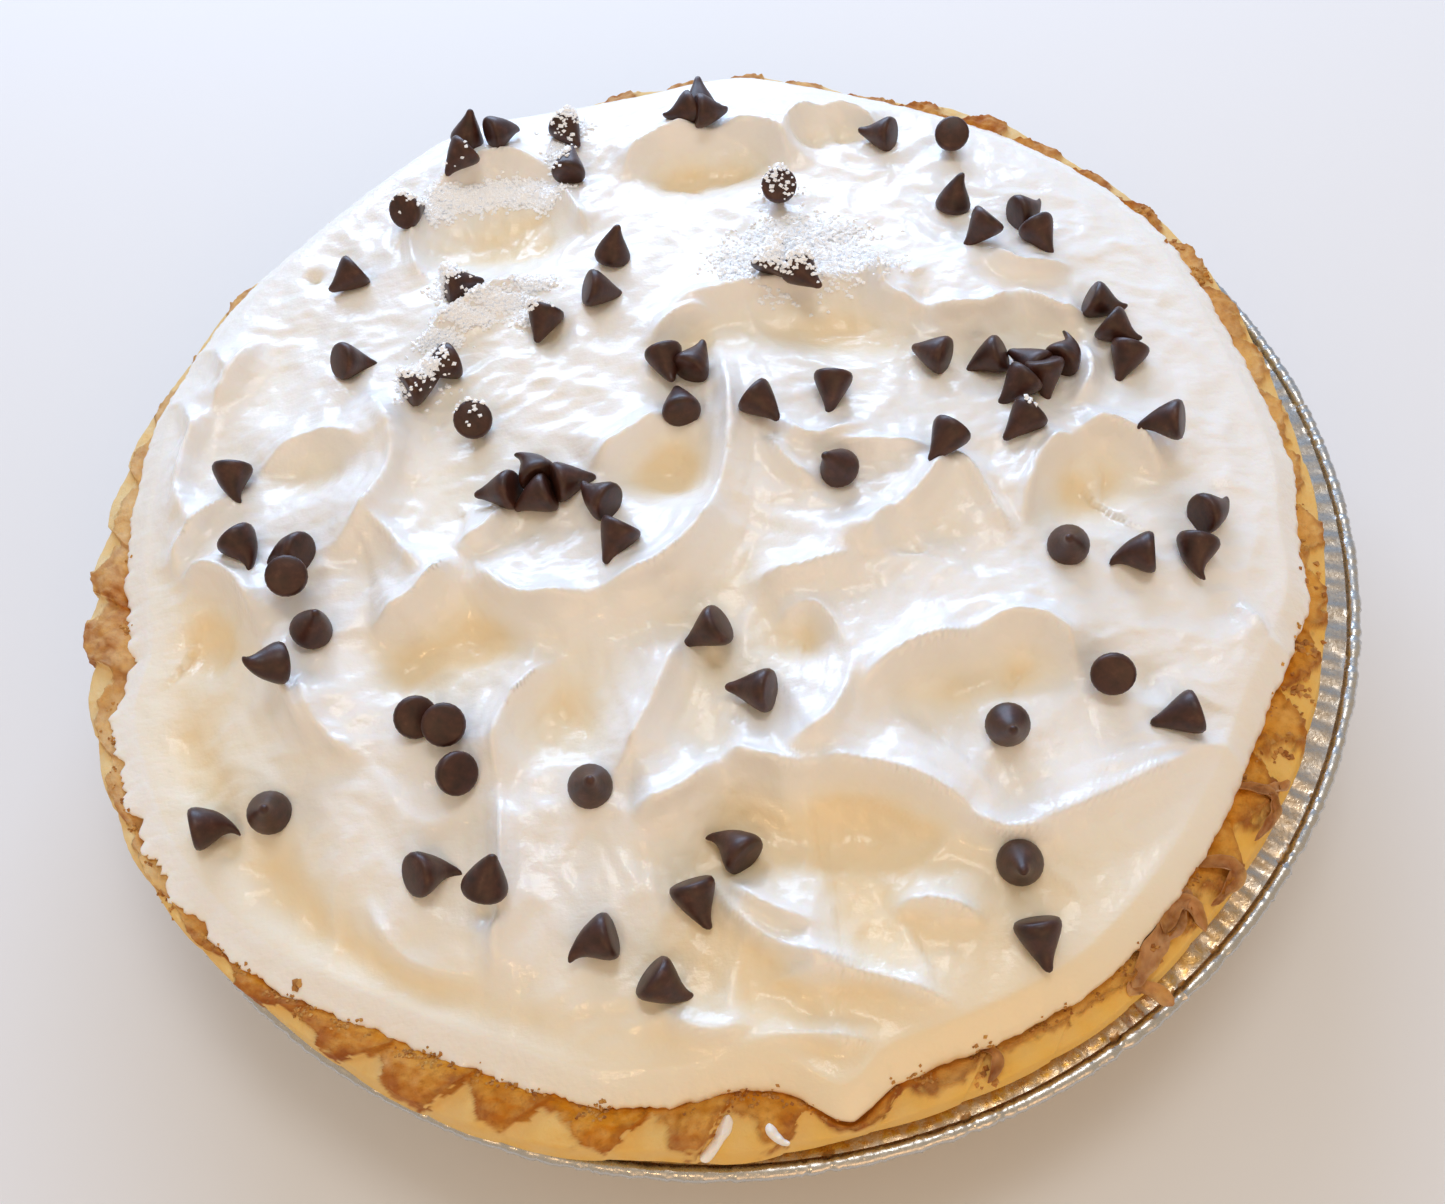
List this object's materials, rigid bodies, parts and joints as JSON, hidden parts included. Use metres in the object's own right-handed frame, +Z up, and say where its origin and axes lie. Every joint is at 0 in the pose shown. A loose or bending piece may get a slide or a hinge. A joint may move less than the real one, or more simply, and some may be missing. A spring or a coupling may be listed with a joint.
{
  "type": "cream pie",
  "caption": "Round cream pie in a shallow foil pan, with a crimped crust rim and a whipped topping strewn with chocolate chips.",
  "frame": {"origin": "centre of the pan's base, on the surface that the pie stands on", "axes": "+Z up; -Y is the side that faced the camera in the picture"},
  "size_m": [0.2538, 0.2538, 0.0604],
  "materials": {
    "foil": "thin crinkled foil, bright",
    "baked_crust": "baked pastry, pale with golden brown crests",
    "whipped_topping": "glossy whipped cream, soft",
    "chocolate": "dark chocolate, soft sheen",
    "frost": "small ice crystals"
  },
  "bodies": {
    "root": {"pan": "foil", "crust": "baked_crust", "cream": "whipped_topping"}
  },
  "joints": []
}
